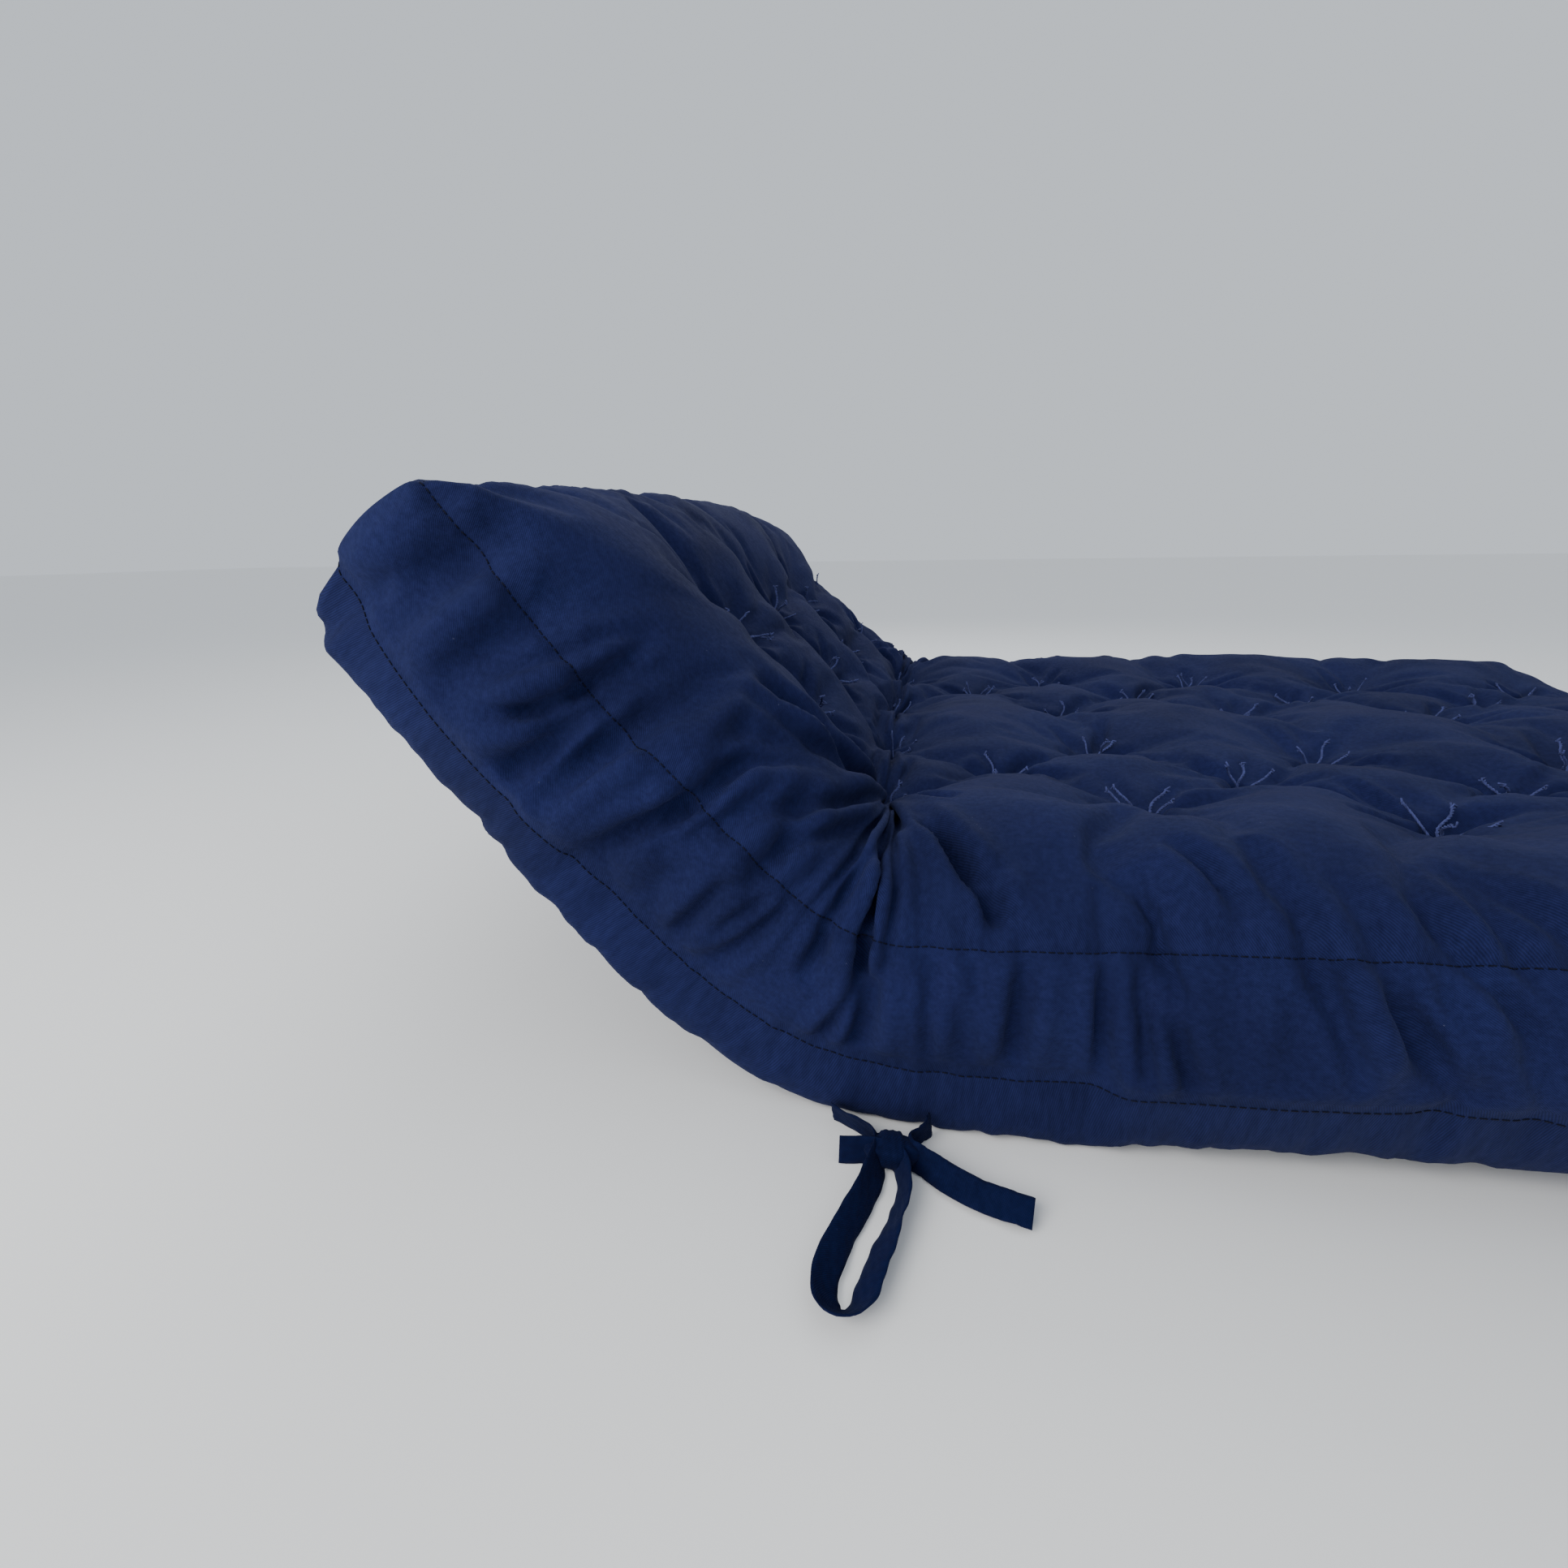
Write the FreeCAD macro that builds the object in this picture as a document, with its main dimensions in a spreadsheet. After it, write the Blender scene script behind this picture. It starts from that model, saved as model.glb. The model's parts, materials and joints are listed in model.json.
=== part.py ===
import FreeCAD, Part
import math
import os

import Sketcher
from FreeCAD import Placement, Rotation, Vector

# A tufted futon mattress, folded up at the head end, in millimetres.
# +X runs from the fold to the foot, +Y across the width, +Z up. The underside of the long flat section
# lies on z = 0. Each section is drawn flat in its own frame, with x measured outwards from the fold
# line, and is then set down in its place. The head section is the same drawing turned round and tilted.
DIMENSIONS = {
    "width": 1400,  # across the mattress
    "flat_length": 1390,  # from the fold line to the foot
    "head_length": 610,  # from the fold line to the head end
    "loft": 255,  # underside to the pillow tops
    "valley": 205,  # underside to a tuft
    "cloth": 2,  # casing cloth, with its quilted lining
    "upper_seam": 190,  # height of the seam between the top panel and the border
    "lower_seam": 62,  # height of the seam between the border and the bottom panel
    "core_low": 85,  # underside of the foam core
    "core_high": 165,  # top of the foam core
    "corner_round": 90,  # round of an upright corner, in plan
    "crown_round": 80,  # round of the top edges
    "hem_round": 50,  # round of the bottom edges
    "fold_half": 95,  # half the length of the fold zone
    "fold_gap": 0.3,  # clearance between the fold zone and the head section
    "axis_height": 90,  # height of the line that the mattress bends about
    "rest_angle": 47,  # the head section's tilt
    "fold_x": -464.4,  # the fold line, measured from the middle of the length covered
    "dimple_top": 55,  # radius of a tuft's dimple at the pillow tops
    "dimple_floor": 8,  # radius at its floor
    "thread_hole": 1.8,  # radius of the hole that a tufting thread makes
    "thread": 1.5,  # radius of a bundle of tufting thread
    "knot": 5,  # radius of a tuft's knot
    "tail": 1.1,  # radius of a thread tail
    "tail_length": 40,
    "tuft_pitch_y": 280,  # between tufts across the width
    "tuft_pitch_x": 148,  # between rows of tufts
    "head_shift": 78,  # the head's tufts sit this much further to the far side
    "strap_width": 25,  # the fabric tie
    "strap_cloth": 2,
    "knot_length": 50,  # the tie's knot, along the mattress
    "knot_depth": 32,  # and away from it
}

doc = FreeCAD.newDocument("futon_mattress")
sheet = doc.addObject("Spreadsheet::Sheet", "Dimensions")
for row, (alias, value) in enumerate(DIMENSIONS.items(), start=1):
    sheet.set(f"A{row}", alias)
    sheet.set(f"B{row}", str(value))
    sheet.setAlias(f"B{row}", alias)
doc.recompute()
parts = {}


def dim(alias):
    return float(sheet.get(alias))


SPAN = 2 * dim("width")  # longer than anything that a cutting block has to pass
TILT = dim("rest_angle")
FOLD_AT = Placement(Vector(dim("fold_x"), 0, 0), Rotation())
FOLD_AXIS = Vector(0, 0, dim("axis_height"))


def tilted(angle):
    """A turn about the fold's axis, which lifts what lies on the side of -X."""
    return Placement(Vector(0, 0, 0), Rotation(Vector(0, 1, 0), angle), FOLD_AXIS)


TURNED_ROUND = Placement(Vector(0, 0, 0), Rotation(Vector(0, 0, 1), 180))
IN_PLACE = {"flat": FOLD_AT, "head": FOLD_AT * tilted(TILT) * TURNED_ROUND}


def body_plane(body, role):
    """One of a body's own origin planes."""
    return next(plane for plane in body.Origin.OriginFeatures if plane.Role == role)


def rectangle(body, x_low, x_high, half_width):
    """A rectangle in plan. Each argument is an expression, and x_low may lie on the side of -X."""
    sketch = body.newObject("Sketcher::SketchObject", body.Name + "_plan")
    sketch.AttachmentSupport = [(body_plane(body, "XY_Plane"), "")]
    sketch.MapMode = "FlatFace"
    corners = [Vector(100, -50, 0), Vector(300, -50, 0), Vector(300, 50, 0), Vector(100, 50, 0)]
    if x_low.startswith("-"):
        corners[0].x = corners[3].x = -100
    for start, end in zip(corners, corners[1:] + corners[:1]):
        sketch.addGeometry(Part.LineSegment(start, end))
    for line in range(4):
        sketch.addConstraint(Sketcher.Constraint("Coincident", line, 2, (line + 1) % 4, 1))
    for line in (0, 2):
        sketch.addConstraint(Sketcher.Constraint("Horizontal", line))
    for line in (1, 3):
        sketch.addConstraint(Sketcher.Constraint("Vertical", line))
    origin = (-1, 1)
    bound = [
        ("DistanceY", (0, 1), origin, 50, half_width),
        ("DistanceY", origin, (2, 1), 50, half_width),
        ("DistanceX", origin, (1, 1), 300, x_high),
    ]
    if x_low.startswith("-"):
        bound.append(("DistanceX", (0, 1), origin, 100, x_low[1:]))
    else:
        bound.append(("DistanceX", origin, (0, 1), 100, x_low))
    for kind, first, second, value, expression in bound:
        index = sketch.addConstraint(Sketcher.Constraint(kind, *first, *second, value))
        sketch.setExpression(f"Constraints[{index}]", expression)
    return sketch


def rounded(body, base, edges, radius):
    """Rounds the edges of base that the test picks, and makes the result the body's shape."""
    names = [f"Edge{i}" for i, edge in enumerate(base.Shape.Edges, start=1) if edges(edge)]
    fillet = body.newObject("PartDesign::Fillet", base.Name + "_round")
    fillet.Base = (base, names)
    fillet.setExpression("Radius", radius)
    body.Tip = fillet
    doc.recompute()
    return fillet


def upright(edge):
    return edge.BoundBox.ZLength > 1


def at_height(height):
    return lambda edge: abs(edge.BoundBox.ZMin - height) + abs(edge.BoundBox.ZMax - height) < 0.1


def block(name, x_low, x_high, height, inset):
    """A block of the mattress's width from x_low to x_high, drawn in by inset on the sides that
    meet the air."""
    body = doc.addObject("PartDesign::Body", name)
    sketch = rectangle(body, x_low, x_high, f"Dimensions.width / 2 - {inset}")
    sketch.setExpression("AttachmentOffset.Base.z", inset)
    pad = body.newObject("PartDesign::Pad", name + "_pad")
    pad.Profile = sketch
    pad.setExpression("Length", f"{height} - 2 * {inset}")
    body.Tip = pad
    doc.recompute()
    return body, pad


def section_block(name, length, inset):
    """One section's outline: upright corners at its outer end, a crowned top and a softer hem."""
    body, pad = block(
        name, f"Dimensions.fold_half + {inset}", f"{length} - {inset}", "Dimensions.loft", inset
    )
    low = pad.Shape.BoundBox.ZMin
    high = pad.Shape.BoundBox.ZMax
    inner_end = pad.Shape.BoundBox.XMin + 1
    corners = rounded(
        body,
        pad,
        lambda edge: upright(edge) and edge.BoundBox.XMin > inner_end,
        f"Dimensions.corner_round - {inset}",
    )
    crown = rounded(body, corners, at_height(high), f"Dimensions.crown_round - {inset}")
    hem = at_height(low)
    rounded(
        body,
        crown,
        lambda edge: hem(edge) and edge.BoundBox.XMax > inner_end,
        f"Dimensions.hem_round - {inset}",
    )
    return body


def fold_block(name, inset):
    """The fold zone's outline on one side of the fold, before it is mitred."""
    body, pad = block(
        name,
        "-Dimensions.fold_half",
        "Dimensions.fold_half - Dimensions.fold_gap",
        "Dimensions.valley",
        inset,
    )
    low = at_height(pad.Shape.BoundBox.ZMin)
    high = at_height(pad.Shape.BoundBox.ZMax)

    def runs_along(edge):
        return edge.BoundBox.XLength > 1

    crown = rounded(
        body,
        pad,
        lambda edge: high(edge) and runs_along(edge),
        f"Dimensions.hem_round - {inset}",
    )
    rounded(
        body,
        crown,
        lambda edge: low(edge) and runs_along(edge),
        f"Dimensions.hem_round - {inset}",
    )
    return body


def boolean(kind, name, base, tool):
    result = doc.addObject(f"Part::{kind}", name)
    result.Base = base
    result.Tool = tool
    return result


def feature(name, shape, place=None):
    """A shape that Part's functions make, from sizes in the sheet."""
    result = doc.addObject("Part::Feature", name)
    result.Shape = shape
    if place is not None:
        result.Placement = place
    return result


def slab(name, low, high, y_low=None, x_low=None, x_high=None):
    """A cutting block between two heights, on one side of the middle and between two lengths if
    those are given."""
    box = doc.addObject("Part::Box", name)
    box.setExpression("Height", f"{high} - ({low})")
    box.setExpression("Placement.Base.z", low)
    if y_low is None:
        box.Width = SPAN
        box.Placement.Base.y = -SPAN / 2
    else:
        box.Width = SPAN / 2
        box.setExpression("Placement.Base.y", y_low)
    if x_low is None:
        box.Placement.Base.x = -SPAN / 2
    else:
        box.setExpression("Placement.Base.x", x_low)
    if x_high is None:
        box.Length = SPAN
    else:
        box.setExpression("Length", f"{x_high} - ({x_low})")
    return box


def finish(node, result, place):
    """Names a sub-part and sets it down in its place."""
    result.Label = node
    result.Placement = place
    parts[node] = result


# Where a cutting block starts that takes only the casing's near or far side.
FAR_RIM = "Dimensions.width / 2 - 10"
NEAR_RIM = f"-({FAR_RIM}) - {SPAN / 2}"

# Heights of the casing's pieces and of the filling's layers.
BELOW = "-10"
ABOVE = "Dimensions.loft + 10"
CASING = {
    "bottom_panel": (BELOW, "Dimensions.lower_seam"),
    "border": ("Dimensions.lower_seam", "Dimensions.upper_seam"),
    "top_panel": ("Dimensions.upper_seam", ABOVE),
}
FILLING = {
    "lower_batting": (BELOW, "Dimensions.core_low"),
    "foam_core": ("Dimensions.core_low", "Dimensions.core_high"),
    "upper_batting": ("Dimensions.core_high", ABOVE),
}


# Where the tufts of a row stand across the width, in pitches from the middle.
FOUR = (-1.5, -0.5, 0.5, 1.5)
TWO = (-1, 1)


def tuft_points(section):
    """(row, x, y) of each tuft in a section's own frame. Rows of four and rows of two alternate on
    the flat section. The head has two rows of four, shifted across the width."""
    pitch = dim("tuft_pitch_y")
    # the rows are counted from the crease, where the two sections' tufted tops meet at the tilt
    crease = (dim("valley") - dim("axis_height")) * math.tan(math.radians(TILT / 2))
    found = []
    if section == "flat":
        for row in range(1, 9):
            columns = FOUR if row % 2 == 0 else TWO
            x = crease + row * dim("tuft_pitch_x")
            found += [(row, x, column * pitch) for column in columns]
    else:
        for row in (1, 2):
            x = crease + row * dim("tuft_pitch_x")
            # the head section is turned round, so its own y runs the other way
            found += [(row, x, -(column * pitch + dim("head_shift"))) for column in FOUR]
    return found


def dimples(name, section, drop):
    """The cones that the tufts pull into the top, lowered by drop."""
    high = dim("loft") + 1
    slope = (dim("dimple_top") - dim("dimple_floor")) / (dim("loft") - dim("valley"))
    deep = high - dim("valley")
    rim = dim("dimple_floor") + slope * deep
    cones = []
    for _, x, y in tuft_points(section):
        floor = Vector(x, y, dim("valley") - drop)
        cones.append(Part.makeCone(dim("dimple_floor"), rim + slope * drop, deep + drop, floor))
    return feature(name, Part.makeCompound(cones))


def thread_holes(name, section):
    holes = [
        Part.makeCylinder(dim("thread_hole"), SPAN, Vector(x, y, -SPAN / 2))
        for _, x, y in tuft_points(section)
    ]
    return feature(name, Part.makeCompound(holes))


def tuft(number):
    """One tuft, standing on the origin at the underside: thread through the mattress, a knot on the
    top panel and three tails, fanned differently on each tuft."""
    stand_off = 0.5
    knot_at = Vector(0, 0, dim("valley") + dim("knot"))
    solid = Part.makeCylinder(dim("thread"), knot_at.z - stand_off, Vector(0, 0, stand_off))
    solid = solid.fuse(Part.makeSphere(dim("knot"), knot_at))
    for tail in range(3):
        around = math.radians(tail * 125 + number * 67)
        steep = math.radians(60 + 5 * tail)
        out = Vector(
            math.cos(around) * math.cos(steep), math.sin(around) * math.cos(steep), math.sin(steep)
        )
        solid = solid.fuse(Part.makeCylinder(dim("tail"), dim("tail_length"), knot_at, out))
    return solid


def tuft_row(node, section, row):
    """The tufts of one row, as separate solids in one node."""
    solids = []
    for number, (own_row, x, y) in enumerate(tuft_points(section)):
        if own_row == row:
            solid = tuft(number)
            solid.translate(Vector(x, y, 0))
            solids.append(solid)
    finish(node, feature(node, Part.makeCompound(solids)), IN_PLACE[section])


def build_section(section):
    """The casing and the filling of one section."""
    length = f"Dimensions.{section}_length"
    outer = section_block(f"{section}_outer", length, "0")
    inner = section_block(f"{section}_inner", length, "Dimensions.cloth")
    outer = boolean("Cut", f"{section}_outer_dimpled", outer, dimples(f"{section}_dimples", section, 0))
    lowered = dimples(f"{section}_inner_dimples", section, dim("cloth") + 0.5)
    inner = boolean("Cut", f"{section}_inner_dimpled", inner, lowered)
    holes = thread_holes(f"{section}_thread_holes", section)
    shell = boolean("Cut", f"{section}_casing", outer, inner)
    fold_side = "Dimensions.fold_half + Dimensions.cloth"
    corner = f"{length} - Dimensions.corner_round"
    for piece in ("bottom_panel", "top_panel"):
        low, high = CASING[piece]
        sliced = boolean("Common", f"{section}_{piece}_whole", shell, slab(f"{section}_{piece}_slab", low, high))
        finish(f"{piece}_{section}", boolean("Cut", f"{piece}_{section}", sliced, holes), IN_PLACE[section])
    low, high = CASING["border"]
    near, far = ("near", "far") if section == "flat" else ("far", "near")
    strips = {
        f"border_{near}_{section}": (NEAR_RIM, fold_side, corner),
        f"border_{far}_{section}": (FAR_RIM, fold_side, corner),
        f"border_{'foot' if section == 'flat' else 'head'}_end": (None, corner, length),
    }
    for node, (y_low, x_low, x_high) in strips.items():
        box = slab(node + "_slab", low, high, y_low, x_low, x_high)
        finish(node, boolean("Common", node, shell, box), IN_PLACE[section])
    for layer, (low, high) in FILLING.items():
        name = f"{layer}_{section}"
        whole = boolean("Common", name + "_whole", inner, slab(name + "_slab", low, high))
        finish(name, boolean("Cut", name, whole, holes), IN_PLACE[section])


def build_fold():
    """The fold zone: the same cloth and layers, mitred where the two sections meet at the tilt."""
    outer = fold_block("fold_outer", "0")
    inner = fold_block("fold_inner", "Dimensions.cloth")
    # the blocks' ends stay open, so the inner block passes through the outer one
    shell = boolean("Cut", "fold_casing", outer, inner)
    mitre = doc.addObject("Part::Box", "fold_mitre")
    mitre.Length = SPAN
    mitre.Width = SPAN
    mitre.Height = SPAN
    mitre.Placement = tilted(TILT / 2) * Placement(Vector(0, -SPAN / 2, -SPAN / 2), Rotation())
    cells = {f"{name}_fold": (shell, heights, None) for name, heights in CASING.items()}
    del cells["border_fold"]
    cells["border_near_fold"] = (shell, CASING["border"], NEAR_RIM)
    cells["border_far_fold"] = (shell, CASING["border"], FAR_RIM)
    cells |= {f"{name}_fold": (inner, heights, None) for name, heights in FILLING.items()}
    pitch = dim("tuft_pitch_y")
    across = [column * pitch for column in FOUR]
    bisector = tilted(TILT / 2)
    bored = [
        Part.makeCylinder(dim("thread_hole"), SPAN, Vector(0, y, -SPAN / 2)) for y in across
    ]
    holes = feature("fold_thread_holes", Part.makeCompound(bored), bisector)
    for node, (base, (low, high), y_low) in cells.items():
        halves = []
        for side in ("flat", "head"):
            own_y_low = y_low
            if side == "head" and y_low is not None:
                own_y_low = FAR_RIM if y_low == NEAR_RIM else NEAR_RIM
            box = slab(f"{node}_{side}_slab", low, high, own_y_low)
            piece = boolean("Common", f"{node}_{side}_slice", base, box)
            half = boolean("Common", f"{node}_{side}_half", piece, mitre)
            if side == "head":
                half.Placement = tilted(TILT) * TURNED_ROUND
            halves.append(half)
        whole = boolean("Fuse", f"{node}_whole", *halves)
        finish(node, boolean("Cut", node, whole, holes), FOLD_AT)
    # the mitre is a little longer than the sections are high, so the fold's tufts are raised to its top
    reach = dim("valley") - dim("axis_height")
    rise = reach / math.cos(math.radians(TILT / 2)) - reach
    solids = []
    for number, y in enumerate(across):
        solid = tuft(number + 5)
        solid.translate(Vector(0, y, rise))
        solids.append(solid)
    node = "tuft_row_fold"
    finish(node, feature(node, Part.makeCompound(solids)), FOLD_AT * bisector)


def strap(node, points):
    """A flat strap on its edge on the floor: straight runs through the points, joined by tangent arcs
    as large as the runs allow."""
    edges = []
    last = points[0]
    for before, corner, after in zip(points, points[1:], points[2:]):
        towards = (before - corner).normalize()
        away = (after - corner).normalize()
        shorter = min((before - corner).Length, (after - corner).Length)
        turn = math.pi - towards.getAngle(away)
        back = 0.45 * shorter
        radius = back / math.tan(turn / 2)
        start = corner + towards * back
        end = corner + away * back
        middle_way = (towards + away).normalize()
        centre = corner + middle_way * (radius / math.cos(turn / 2))
        middle = centre - middle_way * radius
        edges.append(Part.LineSegment(last, start).toShape())
        edges.append(Part.Arc(start, middle, end).toShape())
        last = end
    edges.append(Part.LineSegment(last, points[-1]).toShape())
    path = Part.Wire(edges)
    along = (points[1] - points[0]).normalize()
    side = along.cross(Vector(0, 0, 1)) * (dim("strap_cloth") / 2)
    up = Vector(0, 0, dim("strap_width") / 2)
    start = points[0]
    ring = [start - side - up, start + side - up, start + side + up, start - side + up]
    section = Part.makePolygon(ring + ring[:1])
    pipe = Part.BRepOffsetAPI.MakePipeShell(path)
    pipe.setBiNormalMode(Vector(0, 0, 1))
    pipe.add(section)
    pipe.build()
    pipe.makeSolid()
    solid = pipe.shape()
    finish(node, feature(node, solid), FOLD_AT)


def build_tie():
    """The fabric tie at the fold, on the near side: two straps knotted in a half bow and laid on the
    floor. Points are in plan, from the fold line and the middle of the width."""
    lift = dim("strap_width") / 2 + 0.2
    knot_x = 80
    knot_y = -742
    half_length = dim("knot_length") / 2
    half_depth = dim("knot_depth") / 2
    knot = doc.addObject("Part::Box", "tie_knot_block")
    knot.setExpression("Length", "Dimensions.knot_length")
    knot.setExpression("Width", "Dimensions.knot_depth")
    knot.setExpression("Height", "Dimensions.strap_width")
    rounded_knot = doc.addObject("Part::Fillet", "tie_knot")
    rounded_knot.Base = knot
    doc.recompute()
    rounded_knot.Edges = [
        (i, 4, 4) for i, edge in enumerate(knot.Shape.Edges, start=1) if edge.BoundBox.ZLength > 1
    ]
    place = Placement(Vector(knot_x - half_length, knot_y - half_depth, 0.2), Rotation())
    finish("tie_knot", rounded_knot, FOLD_AT * place)
    routes = {
        "tie_left_lead": [(22, -702), (42, -713), (70, knot_y + half_depth)],
        "tie_right_lead": [(114, -702), (110, -716), (94, knot_y + half_depth)],
        "tie_loop": [
            (68, knot_y - half_depth),
            (61, -792),
            (47, -832),
            (35, -872),
            (36, -893),
            (44, -905),
            (57, -905),
            (66, -894),
            (69, -874),
            (81, -834),
            (93, -792),
            (90, knot_y - half_depth),
        ],
        "tie_tail": [(knot_x + half_length, -749), (130, -768), (162, -784), (196, -791)],
        "tie_short_end": [(knot_x - half_length, -745), (44, -749), (33, -749)],
    }
    for node, route in routes.items():
        strap(node, [Vector(x, y, lift) for x, y in route])


def check_and_write():
    """Stops on any failed object or empty sub-part, and then writes one file a sub-part."""
    doc.recompute()
    for obj in doc.Objects:
        if "Invalid" in obj.State or "Error" in obj.State:
            raise RuntimeError(f"{obj.Name} failed: {obj.State}")
    covered = FreeCAD.BoundBox()
    os.makedirs("parts", exist_ok=True)
    for node, obj in parts.items():
        if obj.Shape.isNull() or not obj.Shape.isValid() or not obj.Shape.Solids:
            raise RuntimeError(f"{node} has no valid solid")
        if not node.startswith("tie_"):
            covered.add(obj.Shape.optimalBoundingBox())
        obj.Shape.exportStep(f"parts/{node}.step")
    print(len(parts), "sub-parts")
    print(f"mattress x {covered.XMin:.2f} to {covered.XMax:.2f}, centre {covered.Center.x:.2f}")
    print(f"y {covered.YMin:.2f} to {covered.YMax:.2f}, z {covered.ZMin:.2f} to {covered.ZMax:.2f}")


for section in ("flat", "head"):
    build_section(section)
build_fold()
for row in range(1, 9):
    tuft_row(f"tuft_row_flat_{row}", "flat", row)
for row in (1, 2):
    tuft_row(f"tuft_row_head_{row}", "head", row)
build_tie()
check_and_write()
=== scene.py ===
import json
import math

import bpy
import numpy as np
from mathutils import Matrix, Vector


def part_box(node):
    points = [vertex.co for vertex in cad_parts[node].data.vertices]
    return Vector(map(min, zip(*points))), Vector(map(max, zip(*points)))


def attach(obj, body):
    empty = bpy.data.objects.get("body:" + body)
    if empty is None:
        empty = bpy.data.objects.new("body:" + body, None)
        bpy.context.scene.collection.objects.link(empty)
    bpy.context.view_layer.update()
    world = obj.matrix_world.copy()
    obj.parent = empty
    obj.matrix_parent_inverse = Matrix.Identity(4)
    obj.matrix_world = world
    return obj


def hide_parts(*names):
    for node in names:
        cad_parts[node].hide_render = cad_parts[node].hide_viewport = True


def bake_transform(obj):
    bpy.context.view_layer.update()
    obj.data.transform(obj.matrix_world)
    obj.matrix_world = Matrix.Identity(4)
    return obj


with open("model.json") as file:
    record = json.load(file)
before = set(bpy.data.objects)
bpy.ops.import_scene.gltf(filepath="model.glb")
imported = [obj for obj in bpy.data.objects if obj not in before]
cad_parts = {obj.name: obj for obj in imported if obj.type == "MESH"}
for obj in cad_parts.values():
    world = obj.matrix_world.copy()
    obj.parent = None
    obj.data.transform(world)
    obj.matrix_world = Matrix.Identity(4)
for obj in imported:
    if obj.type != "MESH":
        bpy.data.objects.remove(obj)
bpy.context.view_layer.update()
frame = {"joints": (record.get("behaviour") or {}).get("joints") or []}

# A tufted futon mattress with its head end folded up. The casing is simulated as cloth over its filling:
# it is cut flat, and starts in the folded shape, so that the spare cloth inside the fold gathers. Flat
# coordinates: u from the fold line to the foot, v across to the far side, z up from the underside.

joint = frame["joints"][0]
FOLD_X, _, AXIS_Z = joint["pos_m"]
TILT = math.radians(-joint["range_deg"][0])
BORDER_LOW, BORDER_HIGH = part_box("border_near_flat")
LOWER_SEAM = BORDER_LOW.z + 0.012  # the cloth draws the lower seam up a little
UPPER_SEAM = BORDER_HIGH.z
HALF = -BORDER_LOW.y
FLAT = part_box("border_foot_end")[1].x - FOLD_X
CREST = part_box("top_panel_flat")[1].z
HEAD = 0.61  # length from the fold line to the head end
VALLEY = 0.205  # height of the top at the fold line
TUFT_PITCH_X = 0.148  # between rows
TUFT_PITCH_Y = 0.28  # between the tufts of a row
HEAD_SHIFT = 0.078  # how far the head section's tufts sit towards the far side
CREASE = (VALLEY - AXIS_Z) * math.tan(TILT / 2)
BEND_START = 0.13  # where along u the cloth starts to turn up
BEND_END = -0.15  # and where the fold's own bend ends
BEND_AT_FOLD = math.radians(43.8)  # how far it has turned at BEND_END
BEND_AT_HEAD = math.radians(55.5)  # and at the head end, which curls up a little more
SIDE_LIFT = 0.0135  # how far the long edges rise from the floor, towards the foot
FOUR = (-1.5, -0.5, 0.5, 1.5)  # places across, in pitches, of a row's tufts
TWO = (-1, 1)

CELL = 0.01  # spacing of the simulated cloth's points
TOP_DIP = 0.032  # how deep a tuft draws the top in
FOLD_DIP = 0.044
DIP_RADIUS = 0.07
PRESSURE_RISE = 0.008  # how far the pressure lifts the pillows, taken off beforehand
FULL_TURN = 2 * math.pi
rng = np.random.default_rng(11)


def smooth(t):
    t = np.clip(t, 0, 1)
    return t * t * (3 - 2 * t)


MIDLINE_U = np.linspace(BEND_START, -HEAD - 0.06, 900)
MIDLINE_TURN = BEND_AT_FOLD * smooth((BEND_START - MIDLINE_U) / (BEND_START - BEND_END))
MIDLINE_TURN += (BEND_AT_HEAD - BEND_AT_FOLD) * np.clip((BEND_END - MIDLINE_U) / (BEND_END + HEAD), 0, 1.2)
midline_step = -np.diff(MIDLINE_U)
midline_mean = (MIDLINE_TURN[1:] + MIDLINE_TURN[:-1]) / 2
MIDLINE_X = BEND_START - np.concatenate([[0], np.cumsum(np.cos(midline_mean) * midline_step)])
MIDLINE_Z = AXIS_Z + np.concatenate([[0], np.cumsum(np.sin(midline_mean) * midline_step)])


def turn_at(u):
    """How far the mattress has turned up at u."""
    return np.interp(-u, -MIDLINE_U, MIDLINE_TURN)


def bend(p):
    """Flat coordinates to the row frame: the mattress bends along a line at the axis's height, which
    keeps its length."""
    u, v, z = p[..., 0], p[..., 1], p[..., 2]
    angle = turn_at(u)
    rise = z - AXIS_Z
    x = np.where(u > BEND_START, u, np.interp(-u, -MIDLINE_U, MIDLINE_X)) + rise * np.sin(angle)
    up = np.interp(-u, -MIDLINE_U, MIDLINE_Z) + rise * np.cos(angle)
    lift = SIDE_LIFT * smooth((u - 0.05) / 0.35) * smooth((np.abs(v) - 0.3) / 0.35)
    return np.stack([x + FOLD_X, v, up + lift * smooth(z / LOWER_SEAM)], -1)


# ---------------------------------------------------------------- tufts
TUFT_ROWS = {"tuft_row_fold": [(0.0, c * TUFT_PITCH_Y) for c in FOUR]}
for row in range(1, 9):
    columns = TWO if row % 2 else FOUR
    TUFT_ROWS[f"tuft_row_flat_{row}"] = [(CREASE + row * TUFT_PITCH_X, c * TUFT_PITCH_Y) for c in columns]
for row in (1, 2):
    row_u = -(CREASE + row * TUFT_PITCH_X)
    TUFT_ROWS[f"tuft_row_head_{row}"] = [(row_u, c * TUFT_PITCH_Y + HEAD_SHIFT) for c in FOUR]
TUFTS = [point for points in TUFT_ROWS.values() for point in points]
FOLD_TUFT = TUFT_ROWS["tuft_row_fold"][0]


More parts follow.
